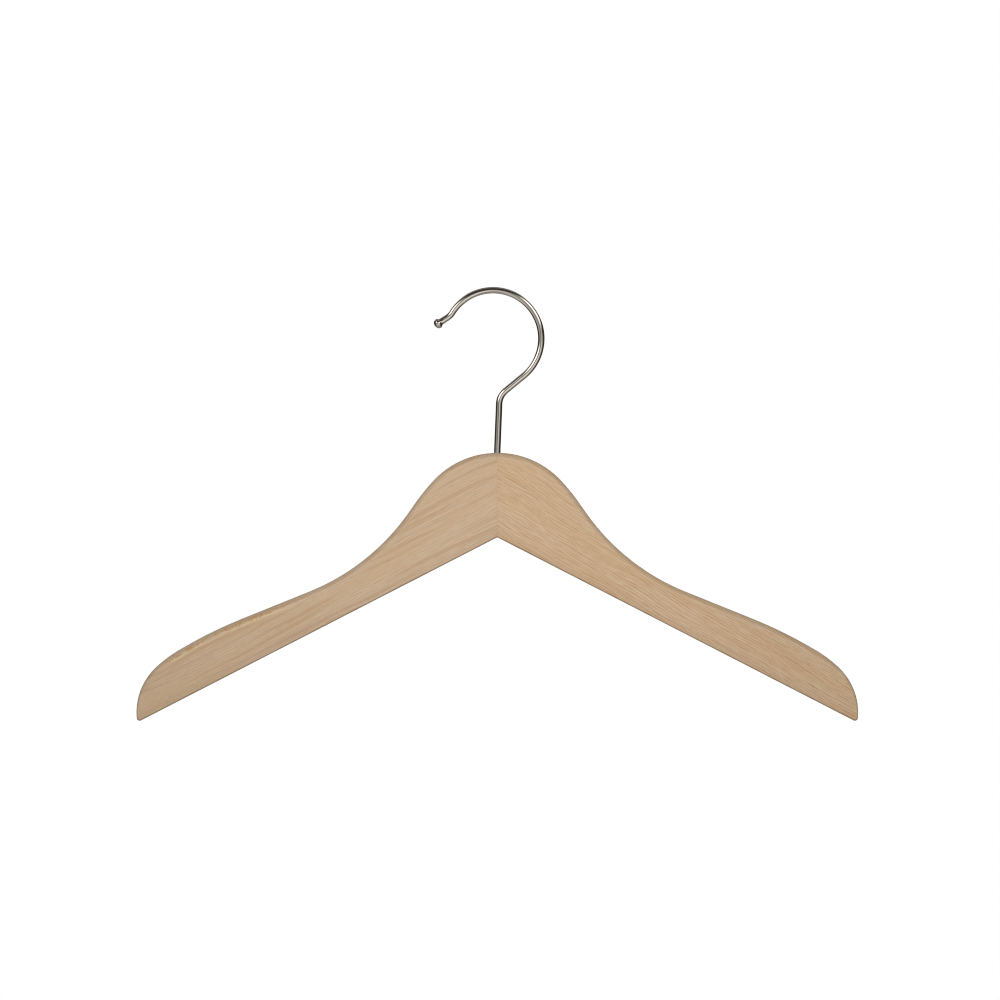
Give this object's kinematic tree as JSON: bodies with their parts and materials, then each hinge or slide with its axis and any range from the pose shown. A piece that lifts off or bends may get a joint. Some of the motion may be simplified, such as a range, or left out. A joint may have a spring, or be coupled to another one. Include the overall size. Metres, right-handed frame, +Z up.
{
  "type": "clothes hanger",
  "caption": "Flat wooden clothes hanger: comb-jointed beech arms with a straight-edged notch below, and a ball-tipped nickel-plated wire hook that swivels in the neck.",
  "frame": {"origin": "the rail seat: the point on the underside of the top of the hook, at mid thickness, that rests on a rail", "axes": "+Z up, +X along the width with the hook's mouth towards -X, +Y through the thickness towards the back"},
  "size_m": [0.3803, 0.012, 0.2289],
  "materials": {
    "left_beech": "smooth sanded, thin matt lacquer",
    "right_beech": "smooth sanded, thin matt lacquer, flecked",
    "washer_zinc": "zinc plated",
    "hook_nickel": "bright nickel plated",
    "nut_zinc": "zinc plated"
  },
  "bodies": {
    "hook": {"swivel_hook": "hook_nickel", "hook_nut": "nut_zinc"},
    "arms": {"left_arm": "left_beech", "right_arm": "right_beech", "thrust_washer": "washer_zinc"}
  },
  "joints": [
    {"name": "hook_swivel", "type": "hinge", "parent": "hook", "child": "arms", "pos_m": [0.00225, 0, -0.08416], "axis": [0, 0, 1], "continuous": true}
  ]
}
